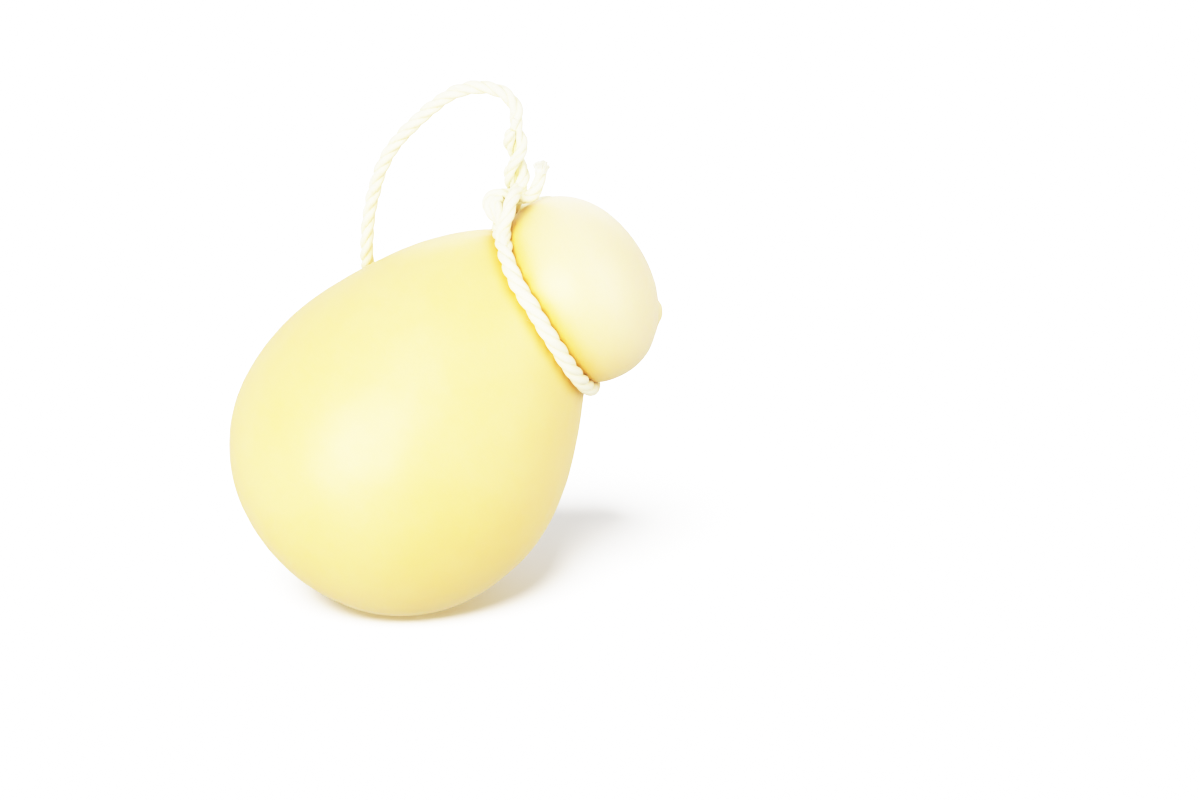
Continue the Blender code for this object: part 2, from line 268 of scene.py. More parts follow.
class CheeseSettings(bpy.types.PropertyGroup):
    """The rind's relief, colours and sheen."""

    turn_steps: bpy.props.IntProperty(
        name="Turn steps", description="Faces once around the cheese", default=216, min=48, max=256)
    profile_step: bpy.props.FloatProperty(
        name="Profile step", description="Spacing of the rings of faces along the cheese",
        default=0.95 * MM, min=0.5 * MM, max=4.0 * MM, precision=5, unit="LENGTH")
    lip_softness: bpy.props.IntProperty(
        name="Lip softness", description="How many times the edges of the neck groove are rounded",
        default=7, min=0, max=30)
    undulation: bpy.props.FloatProperty(
        name="Undulation", description="Height of the broad, hand-moulded unevenness",
        default=0.38 * MM, min=0.0, max=2.0 * MM, precision=5, unit="LENGTH")
    dimpling: bpy.props.FloatProperty(
        name="Dimpling", description="Height of the small unevenness of the rind",
        default=0.07 * MM, min=0.0, max=1.0 * MM, precision=5, unit="LENGTH")
    pleat_depth: bpy.props.FloatProperty(
        name="Pleat depth", description="Depth of the faint pleats that the cord draws at the neck",
        default=0.34 * MM, min=0.0, max=2.0 * MM, precision=5, unit="LENGTH")
    pip_height: bpy.props.FloatProperty(
        name="Pip height", description="How far the pinched pip stands out of the head",
        default=1.2 * MM, min=0.0, max=4.0 * MM, precision=5, unit="LENGTH")
    rind_colour: bpy.props.FloatVectorProperty(
        name="Rind", description="The straw yellow of the body", subtype="COLOR", size=3,
        default=(0.93, 0.672, 0.265), min=0.0, max=1.0)
    ripe_colour: bpy.props.FloatVectorProperty(
        name="Ripe rind", description="The slightly deeper patches of the body", subtype="COLOR", size=3,
        default=(0.91, 0.632, 0.215), min=0.0, max=1.0)
    head_colour: bpy.props.FloatVectorProperty(
        name="Head", description="The paler rind of the head", subtype="COLOR", size=3,
        default=(0.93, 0.745, 0.430), min=0.0, max=1.0)
    # Painted shade: the deep, darker yellow that stands for the shade in and beside the cord's groove.
    groove_shade_colour: bpy.props.FloatVectorProperty(
        name="Groove", description="The rind under and beside the cord", subtype="COLOR", size=3,
        default=(0.83, 0.500, 0.100), min=0.0, max=1.0)
    roughness: bpy.props.FloatProperty(
        name="Roughness", description="How soft the sheen of the rind is",
        default=0.50, min=0.0, max=1.0, subtype="FACTOR")
    wax: bpy.props.FloatProperty(
        name="Wax", description="How much of the rind's thin waxy film shows as a broad sheen",
        default=0.8, min=0.0, max=1.0, subtype="FACTOR")
    depth_of_light: bpy.props.FloatProperty(
        name="Depth of light", description="How far light travels in the curd",
        default=3.0 * MM, min=0.0, max=20.0 * MM, precision=5, unit="LENGTH")


class CordSettings(bpy.types.PropertyGroup):
    """How the cord is laid, and its fibres."""

    ply_count: bpy.props.IntProperty(
        name="Plies", description="Yarns twisted together in the cord", default=3, min=2, max=4)
    ply_radius: bpy.props.FloatProperty(
        name="Ply radius", description="Radius of one yarn",
        default=1.42 * MM, min=0.3 * MM, max=2.0 * MM, precision=5, unit="LENGTH")
    ply_reach: bpy.props.FloatProperty(
        name="Ply reach", description="How far a yarn's centre lies from the cord's",
        default=1.0 * MM, min=0.1 * MM, max=2.0 * MM, precision=5, unit="LENGTH")
    lay_length: bpy.props.FloatProperty(
        name="Lay length", description="Length of cord in which a yarn goes round once",
        default=17.5 * MM, min=8.0 * MM, max=60.0 * MM, precision=5, unit="LENGTH")
    unevenness: bpy.props.FloatProperty(
        name="Unevenness", description="How much a yarn's thickness varies, as a share of it",
        default=0.11, min=0.0, max=0.4, subtype="FACTOR")
    ring_fullness: bpy.props.FloatProperty(
        name="Ring fullness", description="How much wider the ring is pressed than the free cord",
        default=1.12, min=1.0, max=1.3)
    ring_sag: bpy.props.FloatProperty(
        name="Ring sag", description="How far the upper front of the ring is drawn towards the body",
        default=1.2 * MM, min=0.0, max=3.0 * MM, precision=5, unit="LENGTH")
    fibre_colour: bpy.props.FloatVectorProperty(
        name="Fibre", description="The pale outside of the cord", subtype="COLOR", size=3,
        default=(0.93, 0.885, 0.670), min=0.0, max=1.0)
    # Painted shade: the yellower colour put in the hollows between the yarns; a little of it also tones
    # some strands at random.
    hollow_shade_and_tone_colour: bpy.props.FloatVectorProperty(
        name="Hollow", description="The yellower hollows between the yarns", subtype="COLOR", size=3,
        default=(0.84, 0.75, 0.420), min=0.0, max=1.0)
    # Painted light: a paler copy of the fibre colour, to offset the shade that the tuft's packed fibres
    # cast on each other.
    frayed_painted_light_colour: bpy.props.FloatVectorProperty(
        name="Frayed end", description="The bleached fibres of the frayed tail", subtype="COLOR", size=3,
        default=(0.97, 0.95, 0.83), min=0.0, max=1.0)
    stray_per_metre: bpy.props.IntProperty(
        name="Stray fibres", description="Loose fibres that stand off each metre of cord",
        default=900, min=0, max=4000)
    tuft_fibres: bpy.props.IntProperty(
        name="Tuft fibres", description="Fibres in the frayed end of the tail",
        default=240, min=0, max=600)
    seed: bpy.props.IntProperty(
        name="Seed", description="Changes where the loose fibres lie", default=11, min=0)


class StudioSettings(bpy.types.PropertyGroup):
    """The floor, the light and the camera."""

    floor_size: bpy.props.FloatProperty(
        name="Floor size", description="Side of the square floor", default=16.0, min=1.0, unit="LENGTH")
    floor_colour: bpy.props.FloatVectorProperty(
        name="Floor", description="The pale floor", subtype="COLOR", size=3,
        default=(0.72, 0.72, 0.72), min=0.0, max=1.0)
    surround: bpy.props.FloatProperty(
        name="Surround", description="Brightness of the white room", default=0.90, min=0.0)
    surround_below: bpy.props.FloatProperty(
        name="Surround below", description="Brightness straight below, as a share of the room's",
        default=0.88, min=0.0, max=1.0, subtype="FACTOR")
    key_power: bpy.props.FloatProperty(
        name="Key light", description="Power of the large soft light, in watts", default=31.0, min=0.0)
    fill_power: bpy.props.FloatProperty(
        name="Fill light", description="Power of the light from the right, in watts", default=7.0, min=0.0)
    back_power: bpy.props.FloatProperty(
        name="Back light", description="Power of the light from behind, in watts", default=7.0, min=0.0)
    floor_power: bpy.props.FloatProperty(
        name="Floor light", description="Strength of the light that whitens the floor alone",
        default=15.0, min=0.0)
    camera_distance: bpy.props.FloatProperty(
        name="Camera distance", description="From the camera to the middle of its view",
        default=1.1, min=0.2, unit="LENGTH")
    camera_elevation: bpy.props.FloatProperty(
        name="Camera elevation", description="How far the camera looks down",
        default=math.radians(15.0), min=0.0, max=math.pi / 2, subtype="ANGLE")
    lens: bpy.props.FloatProperty(
        name="Lens", description="Focal length in millimetres", default=97.06, min=10.0)


# ---------------------------------------------------------------- shader sums

class Value:
    """One output of a node, which can take part in sums."""

    def __init__(self, look, socket):
        self.look = look
        self.socket = socket

    def sum(self, operation, *values):
        return self.look.node("Math", {"operation": operation}, dict(enumerate(values)))

    def __add__(self, other):
        return self.sum("ADD", self, other)

    __radd__ = __add__

    def __mul__(self, other):
        return self.sum("MULTIPLY", self, other)

    __rmul__ = __mul__


class Look:
    """The nodes of a material, or of the world, under construction."""

    def __init__(self, owner):
        self.owner = owner
        self.owner.use_nodes = True
        self.tree = owner.node_tree
        self.tree.nodes.clear()

    def node(self, kind, settings=None, sockets=None, out=0):
        """Adds a node, makes its settings, fills or links its sockets, and gives one output, if any."""
        made = self.tree.nodes.new("ShaderNode" + kind)
        for name, value in (settings or {}).items():
            if name == "stops":
                self.stops(made.color_ramp, value)
            else:
                setattr(made, name, value)
        for name, value in (sockets or {}).items():
            if isinstance(value, Value):
                self.tree.links.new(value.socket, made.inputs[name])
            else:
                made.inputs[name].default_value = value
        return Value(self, made.outputs[out]) if len(made.outputs) else None

    def stops(self, ramp, stops):
        while len(ramp.elements) < len(stops):
            ramp.elements.new(1.0)
        for element, (position, grey) in zip(ramp.elements, stops):
            element.position = position
            element.color = (grey, grey, grey, 1.0)

    def noise(self, vector, scale, detail=2.0, roughness=0.5):
        return self.node("TexNoise", {"noise_dimensions": "3D"},
                         {"Vector": vector, "Scale": scale, "Detail": detail, "Roughness": roughness})

    def ramp(self, value, *stops):
        return self.node("ValToRGB", {"stops": stops}, {"Fac": value})

    def attribute(self, name, out):
        return self.node("Attribute", {"attribute_name": name, "attribute_type": "GEOMETRY"}, out=out)

    def mix(self, share, first, second):
        """A colour between two colours."""
        first, second = (value if isinstance(value, Value) else (*value, 1.0) for value in (first, second))
        return self.node("Mix", {"data_type": "RGBA"},
                         {0: share, FIRST_COLOUR: first, SECOND_COLOUR: second}, out=MIXED_COLOUR)

    def finish(self, **sockets):
        """Adds the surface shader and the output. Underscores stand for the spaces in socket names."""
        named = {name.replace("_", " "): value for name, value in sockets.items()}
        self.node("OutputMaterial", {}, {"Surface": self.node("BsdfPrincipled", {}, named)})
        return self.owner


def rind_look(cheese):
    """A smooth waxy rind: straw yellow, deeper in patches, with painted shade in and beside the groove,
    paler on the head.
    """
    look = Look(bpy.data.materials.new("caciocavallo_rind"))
    place = look.node("TexCoord", out="Object")
    patches = look.ramp(look.noise(place, scale=24.0, detail=3.0, roughness=0.55), (0.36, 0.0), (0.66, 1.0))
    cloud = look.noise(place, scale=95.0, detail=3.0, roughness=0.6)
    grain = look.noise(place, scale=620.0, detail=3.0, roughness=0.6)
    head = look.attribute("head", "Fac")
    groove = look.attribute("groove", "Fac")

    body = look.mix(patches * 0.75, cheese.rind_colour, cheese.ripe_colour)
    paler = look.mix(head * (0.80 + cloud * 0.25), body, cheese.head_colour)
    # Painted shade in and beside the groove, mottled by the cloud noise.
    colour = look.mix(groove * (0.70 + cloud * 0.3), paler, cheese.groove_shade_colour)

    relief = cloud * 0.55 + grain * 0.45
    bump = look.node("Bump", {}, {"Strength": 0.22, "Distance": 0.35 * MM, "Height": relief})
    depth = cheese.depth_of_light
    return look.finish(
        Base_Color=colour,
        Roughness=(cheese.roughness - 0.07) + cloud * 0.10 + grain * 0.06,
        Normal=bump,
        IOR=1.5,
        Subsurface_Weight=0.30,
        Subsurface_Radius=(depth, depth * 0.55, depth * 0.18),
        Subsurface_Scale=1.0,
        Coat_Weight=cheese.wax,
        Coat_IOR=1.6,
        Coat_Roughness=0.46,
    )


def cord_look(cord):
    """Pale plant fibre: streaks along each yarn, with yellower painted shade in the hollows between the
    yarns.
    """
    look = Look(bpy.data.materials.new("plant_fibre_cord"))
    along = look.attribute("fibre", "Vector")
    streaks = look.noise(along, scale=1.0, detail=3.0, roughness=0.65)
    strands = look.noise(along, scale=0.35, detail=2.0, roughness=0.5)
    hollow = look.attribute("hollow", "Fac")

    sunlit = look.mix(look.ramp(streaks, (0.30, 0.0), (0.70, 1.0)) * 0.55, cord.fibre_colour,
                      [share * 0.90 for share in cord.fibre_colour])
    # Random strands take a little of the hollow colour; the hollows between the yarns take all of it, as
    # painted shade.
    toned = look.mix(look.ramp(strands, (0.40, 0.0), (0.70, 1.0)) * 0.25, sunlit, cord.hollow_shade_and_tone_colour)
    colour = look.mix(look.ramp(hollow, (0.25, 0.0), (0.85, 1.0)), toned, cord.hollow_shade_and_tone_colour)
    bump = look.node("Bump", {}, {"Strength": 0.75, "Distance": 0.16 * MM,
                                  "Height": streaks * 0.7 + strands * 0.5})
    return look.finish(
        Base_Color=colour,
        Roughness=0.78 + streaks * 0.12,
        Normal=bump,
        IOR=1.5,
        Sheen_Weight=0.15,
        Sheen_Roughness=0.5,
        Subsurface_Weight=0.12,
        Subsurface_Radius=(0.6 * MM, 0.5 * MM, 0.3 * MM),
        Subsurface_Scale=1.0,
    )


def frayed_look(cord):
    """Loose fibres: the cord's own colour painted paler, as painted light against the shade the fibres cast
    on each other, and without its relief.
    """
    look = Look(bpy.data.materials.new("frayed_fibre"))
    streaks = look.noise(look.attribute("fibre", "Vector"), scale=0.6, detail=2.0, roughness=0.6)
    darker = look.ramp(streaks, (0.35, 0.0), (0.70, 1.0)) * 0.6
    colour = look.mix(darker, cord.frayed_painted_light_colour, cord.fibre_colour)
    return look.finish(Base_Color=colour, Roughness=0.80 + streaks * 0.10, IOR=1.5)


def floor_look(studio):
    """A plain matt floor, evened out by a little light of its own."""
    look = Look(bpy.data.materials.new("studio_floor"))
    place = look.node("TexCoord", out="Object")
    speck = look.noise(place, scale=60.0)
    colour = look.mix(speck, studio.floor_colour, [share * 0.99 for share in studio.floor_colour])
    return look.finish(Base_Color=colour, Roughness=0.8,
                       Emission_Color=(1.0, 1.0, 1.0, 1.0), Emission_Strength=FLOOR_GLOW)


def room_look(studio):
    """A white room all round, a little dimmer towards the ground."""
    look = Look(bpy.data.worlds.new("white_room"))
    way = look.node("TexCoord", out="Generated")
    height = look.node("SeparateXYZ", {}, {"Vector": way}, out="Z")
    strength = look.node("MapRange", {}, {
        "Value": height, "From Min": -1.0, "From Max": 0.0,
        "To Min": studio.surround * studio.surround_below, "To Max": studio.surround})
    light = look.node("Background", {}, {"Color": (1.0, 1.0, 1.0, 1.0), "Strength": strength})
    look.node("OutputWorld", {}, {"Surface": light})
    return look.owner


# ---------------------------------------------------------------- lines

def millimetres(route):
    return [Vector(point) * MM for point in route]


def evened(points, spacing):
    """The same line, with its points at one even spacing."""
    run = [0.0]
    for start, end in zip(points, points[1:]):
        run.append(run[-1] + (end - start).length)
    count = max(2, round(run[-1] / spacing))
    even, at = [], 0
    for step in range(count + 1):
        goal = run[-1] * step / count
        while at < len(run) - 2 and run[at + 1] < goal:
            at += 1
        share = (goal - run[at]) / max(run[at + 1] - run[at], 1e-9)
        even.append(points[at].lerp(points[at + 1], share))
    return even


def smooth_line(route):
    """A smooth line through the route's points, with its own points a cord's step apart."""
    ends = [route[0] * 2 - route[1]] + list(route) + [route[-1] * 2 - route[-2]]
    fine = []
    for before, start, end, after in zip(ends, ends[1:], ends[2:], ends[3:]):
        for step in range(SPLINE_STEPS):
            t = step / SPLINE_STEPS
            fine.append(0.5 * (2 * start + (end - before) * t
                               + (2 * before - 5 * start + 4 * end - after) * t * t
                               + (3 * start - before - 3 * end + after) * t * t * t))
    fine.append(route[-1].copy())
    return evened(fine, CORD_STEP)


def wound_strand(turned, top, straightens):
    """The route of one wound strand up to its top, where the one that goes on to the loop straightens."""
    route = []
    for step in range(PAIR_STEPS + 1):
        height = PAIR_FOOT + (top - PAIR_FOOT) * step / PAIR_STEPS
        angle = turned + 2 * math.pi * (height - PAIR_CROSSING) / PAIR_PITCH
        swing = PAIR_REACH
        if straightens:
            swing *= min(1.0, max(0.0, (PAIR_TOP - PAIR_STRAIGHT - height) / PAIR_STRAIGHTENING))
        route.append((PAIR_X + swing * math.sin(angle), -swing * math.cos(angle), height))
    return route


def nearest(points, target):
    return min(range(len(points)), key=lambda at: (points[at] - target).length_squared)


def lies_along(points):
    """The tangent of a line at each of its points."""
    last = len(points) - 1
    return [(points[min(at + 1, last)] - points[max(at - 1, 0)]).normalized()
            for at in range(len(points))]


def carried_sides(points):
    """Two directions across a line at each of its points, carried along it without a twist."""
    across = lies_along(points)[0].orthogonal().normalized()
    sides = []
    for tangent in lies_along(points):
        across = (across - tangent * across.dot(tangent)).normalized()
        sides.append((across, tangent.cross(across)))
    return sides


class Laid:
    """A stretch of cord: its centre line, the directions across it and the turn of its lay.

    Tips are the thickness at its two ends, and opening spreads the yarns at its last one.
    """

    def __init__(self, points, sides=None, start=0.0, step=None, tips=(1.0, 1.0), opening=0.0,
                 fullness=1.0, closed=False):
        self.points = points
        self.sides = sides or carried_sides(points)
        self.start = start
        self.step = step or (points[1] - points[0]).length
        self.tips = tips
        self.opening = opening
        self.fullness = fullness
        self.closed = closed

    def part(self, first, last, **changes):
        """The stretch between two of its points, with the lay running on."""
        return Laid(self.points[first:last + 1], self.sides[first:last + 1],
                    self.start + first * self.step, self.step, **changes)


def yarns(laid, cord, turns=None):
    """The yarns of a stretch of cord, each as its points, its thickness and the cord's centre."""
    lay = laid.step * len(laid.points) / turns if turns else cord.lay_length
    last = len(laid.points) - 1
    lines = []
    for ply in range(cord.ply_count):
        line, thickness = [], []
        for at, (point, (across, over)) in enumerate(zip(laid.points, laid.sides)):
            angle = 2 * math.pi * ((laid.start + laid.step * at) / lay + ply / cord.ply_count)
            wander = noise.noise(point * WANDER_BUMPS + Vector((ply * WANDER_APART, 0.0, 2.0)))
            from_first = min(1.0, at * laid.step / END_TAPER)
            from_last = min(1.0, (last - at) * laid.step / END_TAPER)
            first, final = laid.tips
            tip = (first + (1 - first) * from_first) * (final + (1 - final) * from_last)
            tip *= laid.fullness * (1 - PAIR_SLIMMING * math.exp(-(point - PAIR_MIDDLE).length_squared
                                                                 / PAIR_HALF ** 2))
            reach = cord.ply_reach * tip * (1 + laid.opening * (1 - from_last)
                                            + 0.5 * cord.unevenness * wander)
            line.append(point + (across * math.cos(angle) + over * math.sin(angle)) * reach)
            thickness.append(tip * (1 + cord.unevenness * wander))
        lines.append((line, thickness, laid.points, laid.closed))
    return lines


# ---------------------------------------------------------------- meshes

def put_in_scene(name, data):
    """A new object in the scene, made of a mesh, a curve, a light or a camera."""
    made = bpy.data.objects.new(name, data)
    bpy.context.scene.collection.objects.link(made)
    return made


def piece(name, mesh, look, replaced):
    """Puts a mesh in the scene as a piece that stands for a node and moves with the whole."""
    mesh.name = name
    made = put_in_scene(name, mesh)
    mesh.materials.clear()
    mesh.materials.append(bpy.data.materials[look])
    mesh.shade_smooth()
    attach(made, "root")
    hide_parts(replaced)
    return made


def tubes(name, lines, radius, sides):
    """Round tubes along lines of (points, thickness, centre line, closed), with closed ends.

    Attribute fibre follows the fibres of each tube, and hollow is 1 where it faces the cord's middle, where
    the cord's look paints shade.
    """
    curve = bpy.data.curves.new(name, "CURVE")
    curve.dimensions = "3D"
    curve.bevel_depth = radius
    curve.bevel_resolution = sides // 2 - 2
    for points, thickness, _, closed in lines:
        spline = curve.splines.new("POLY")
        spline.points.add(len(points) - 1)
        spline.use_cyclic_u = closed
        for target, point, share in zip(spline.points, points, thickness):
            target.co = (*point, 1.0)
            target.radius = share
    guide = put_in_scene(name + "_guide", curve)
    bpy.context.view_layer.update()
    mesh = bpy.data.meshes.new_from_object(guide.evaluated_get(bpy.context.evaluated_depsgraph_get()))
    bpy.data.objects.remove(guide)
    bpy.data.curves.remove(curve)

    mesh.attributes.new("fibre", "FLOAT_VECTOR", "POINT")
    mesh.attributes.new("hollow", "FLOAT", "POINT")
    fibre, hollow = mesh.attributes["fibre"].data, mesh.attributes["hollow"].data
    vert = 0
    for number, (points, _, centres, _) in enumerate(lines):
        run = number * RUN_APART
        for at, point in enumerate(points):
            run += (point - points[at - 1]).length if at else 0.0
            inward = (centres[at] - point) if centres else None
            for side in range(sides):
                turn = 2 * math.pi * side / sides + run / FIBRE_SWIRL
                fibre[vert].vector = (FIBRE_ROUND * math.cos(turn), FIBRE_ROUND * math.sin(turn),
                                      run / FIBRE_LENGTH + number * FIBRE_APART)
                if inward and inward.length > HOLLOW_LEAST:
                    out = mesh.vertices[vert].co - point
                    hollow[vert].value = max(0.0, out.normalized().dot(inward.normalized()) * 0.5 + 0.5)
                vert += 1
    if vert != len(mesh.vertices):
        raise RuntimeError(name + ": the tubes have other points than their lines")

    bm = bmesh.new()
    bm.from_mesh(mesh)
    ends = [edge for edge in bm.edges if edge.is_boundary]
    bmesh.ops.holes_fill(bm, edges=ends, sides=0)
    for edge in ends:
        edge.smooth = False
    bmesh.ops.recalc_face_normals(bm, faces=bm.faces)
    bm.to_mesh(mesh)
    bm.free()
    return mesh


def stray_fibres(laid, cord, chance, proud):
    """Loose fibres that leave the cord's surface, lie along it and stand off a little."""
    tangents = lies_along(laid.points)
    lines = []
    for _ in range(round(cord.stray_per_metre * CORD_STEP * len(laid.points))):
        at = chance.randrange(1, len(laid.points) - 1)
        across, over = laid.sides[at]
        turn = chance.uniform(0.0, 2 * math.pi)
        outward = across * math.cos(turn) + over * math.sin(turn)
        sideways = tangents[at].cross(outward)
        forward = tangents[at] * chance.choice((-1.0, 1.0)) + sideways * chance.uniform(*STRAY_SLANT)
        length = chance.uniform(*STRAY_LENGTH) * MM
        lift = chance.uniform(*STRAY_LIFT) * proud
        curl = chance.uniform(*STRAY_CURL)
        start = laid.points[at] + outward * (CORD_RADIUS * STRAY_ROOT)
        line = []
        for step in range(len(STRAY_THICKNESS)):
            share = step / (len(STRAY_THICKNESS) - 1)
            line.append(start + forward.normalized() * (length * share * (1 - STRAY_SHORTER * share * lift))
                        + outward * (STRAY_RISE * lift * share ** STRAY_RISE_POWER)
                        + sideways * (length * curl * share * share))
        lines.append((line, STRAY_THICKNESS, None, False))
    return lines


def lay_cord(name, replaced, stretches, cord, seed, turns=None, proud=1.0, core=()):
    """Lays stretches of cord as one piece, and their loose fibres as another."""
    chance = random.Random(seed)
    lines, fibres = [], []
    for laid in stretches:
        lines += yarns(laid, cord, turns)
        fibres += stray_fibres(laid, cord, chance, proud)
    lines += core
    rope = piece(name + "_cord", tubes(name + "_cord", lines, cord.ply_radius, CORD_SIDES),
                 "plant_fibre_cord", replaced)
    fuzz = piece(name + "_fuzz", tubes(name + "_fuzz", fibres, FIBRE_RADIUS, FIBRE_SIDES),
                 "plant_fibre_cord", replaced)
    return rope, fuzz


def shared_strand():
    """The cord that rises into the loop, comes round the back and crosses over the knot."""
    route = wound_strand(0.0, PAIR_TOP, True)[:-1] + LOOP_ROUTE + CROSSING_ROUTE[::-1][1:]
    return Laid(smooth_line(millimetres(route)))


def shared_cuts(strand):
    """Where that cord meets the two ends of the hanging loop."""
    first, last = millimetres((LOOP_ROUTE[0], LOOP_ROUTE[-1]))
    middle = len(strand.points) // 2
    return nearest(strand.points[:middle], first), middle + nearest(strand.points[middle:], last)


def drawn_down(turn, sag):
    """How far the ring sags towards the body, at a turn from its top with the front a quarter turn on."""
    return sag * math.exp(-((turn - SAG_TURN) / SAG_SPREAD) ** 2)


def superellipse(angle, depth, radius, power):
    """A point (radius, height) of a quarter superellipse, from its side (0) to its tip."""
    return radius * math.cos(angle) ** (2.0 / power), depth * math.sin(angle) ** (2.0 / power)


def cheese_profile(cheese):
    """The cheese's outer side as evenly spaced points (radius, 0, height), with soft groove lips."""
    line = []
    for step in range(HEAD_STEPS, 0, -1):
        angle = math.pi / 2 * step / HEAD_STEPS
        radius, rise = superellipse(angle, HEAD_TIP - HEAD_WIDEST, HEAD_RADIUS, HEAD_POWER)
        line.append((radius, NECK_HEIGHT + HEAD_WIDEST + rise))
    for step in range(UNDERSIDE_STEPS + 1):
        rise = 1.0 - step / UNDERSIDE_STEPS
        line.append((HEAD_RADIUS - (HEAD_RADIUS - HEAD_BASE_RADIUS) * (1.0 - rise) ** UNDERSIDE_POWER,
                     NECK_HEIGHT + NOTCH_RADIUS + (HEAD_WIDEST - NOTCH_RADIUS) * rise))
    for step in range(1, NOTCH_STEPS):
        angle = math.radians(NOTCH_START - NOTCH_ARC * step / NOTCH_STEPS)
        line.append((RING_RADIUS + NOTCH_RADIUS * math.sin(angle),
                     NECK_HEIGHT + NOTCH_RADIUS * math.cos(angle)))
    top_of_shoulder = NECK_HEIGHT - SHOULDER_MEETS * NOTCH_RADIUS
    top_angle = math.asin((top_of_shoulder / SHOULDER_DEPTH) ** (SHOULDER_POWER / 2.0))
    for step in range(SHOULDER_STEPS, -1, -1):
        angle = top_angle * step / SHOULDER_STEPS
        line.append(superellipse(angle, SHOULDER_DEPTH, BELLY_RADIUS, SHOULDER_POWER))
    for step in range(1, FAT_END_STEPS + 1):
        angle = math.pi / 2 * step / FAT_END_STEPS
        radius, depth = superellipse(angle, FAT_END_DEPTH, BELLY_RADIUS, FAT_END_POWER)
        line.append((radius, -depth))

    points = evened([Vector((radius, 0.0, height)) for radius, height in line], cheese.profile_step)
    for _ in range(cheese.lip_softness):
        eased = [point.copy() for point in points]
        for at in range(1, len(points) - 1):
            near = max(0.0, 1.0 - abs(points[at].z - NECK_HEIGHT) / LIP_REACH)
            middle = (points[at - 1] + points[at + 1]) / 2
            eased[at] = points[at].lerp(middle, LIP_EASE * min(1.0, LIP_GAIN * near))
        points = eased
    points[0].x = points[-1].x = 0.0
    return points


def leaned(point):
    """Where a point of the upright turned cheese goes once the cheese leans and its neck bends."""
    share = min(max(point.z / BEND_END, 0.0), 1.0)
    lean = BODY_LEAN - (BODY_LEAN - NECK_LEAN) * share ** BEND_POWER
    side = Vector((math.sin(lean), 0.0, -math.cos(lean)))
    spine = BELLY + BODY_AXIS * min(point.z, BEND_END) + NECK_AXIS * max(point.z - BEND_END, 0.0)
    return spine + side * point.x + Vector((0.0, point.y, 0.0))


def rind_relief(upright, place, cheese):
    """How far the rind stands out at a point: its upright place sets the pleats, its last one the rest."""
    middle = noise.noise(place * MIDDLE_BUMPS + Vector((3.0, 1.0, 7.0)))
    broad = noise.noise(place * BROAD_BUMPS) + MIDDLE_SHARE * middle
    small = noise.noise(place * SMALL_BUMPS)
    from_ring = upright.z - NECK_HEIGHT
    reach = PLEATS_BELOW if from_ring < 0 else PLEATS_ABOVE
    fade = max(0.0, 1.0 - abs(from_ring) / reach) ** PLEAT_FADE
    around = Vector((upright.x, upright.y, 0.0)).normalized()
    across, along = BROAD_PLEATS
    pleat = noise.noise(around * across + Vector((0.0, 0.0, from_ring * along)))
    across, along = FINE_PLEATS
    pleat += FINE_SHARE * noise.noise(around * across + Vector((4.0, 0.0, from_ring * along)))
    calm = min(1.0, abs(from_ring) / CALM_AT_RING) * min(1.0, max(0.0, place.z) / CALM_AT_TABLE)
    return (broad * cheese.undulation + small * cheese.dimpling) * calm + pleat * cheese.pleat_depth * fade


def pip_relief(place, cheese):
    """The small pinched pip on the head, with the faint folds that were drawn in towards it."""
    middle = leaned(Vector((PIP_OFFSET, 0.0, NECK_HEIGHT + PIP_HEIGHT)))
    away = place - middle
    across, along = away.y, away.dot(NECK_UP)
    distance = math.hypot(across, along)
    if distance > PIP_REACH or away.dot(NECK_AXIS) < -PIP_REACH_INWARD:
        return 0.0
    half = PIP_HALF_ABOVE if along > 0 else PIP_HALF_BELOW
    bump = math.exp(-((across / PIP_HALF_ACROSS) ** 2 + (along / half) ** 2) ** 2)
    turn = math.atan2(across, along) + distance / FOLDS_SWIRL
    ring = math.exp(-((distance - FOLDS_FROM_PIP) / FOLDS_HALF) ** 2)
    folds = noise.noise(Vector((math.cos(turn) * FOLDS_AROUND, math.sin(turn) * FOLDS_AROUND, 5.0)))
    return cheese.pip_height * bump + (folds * FOLDS_HEIGHT - FOLDS_SUNK) * MM * ring


# ---------------------------------------------------------------- operators

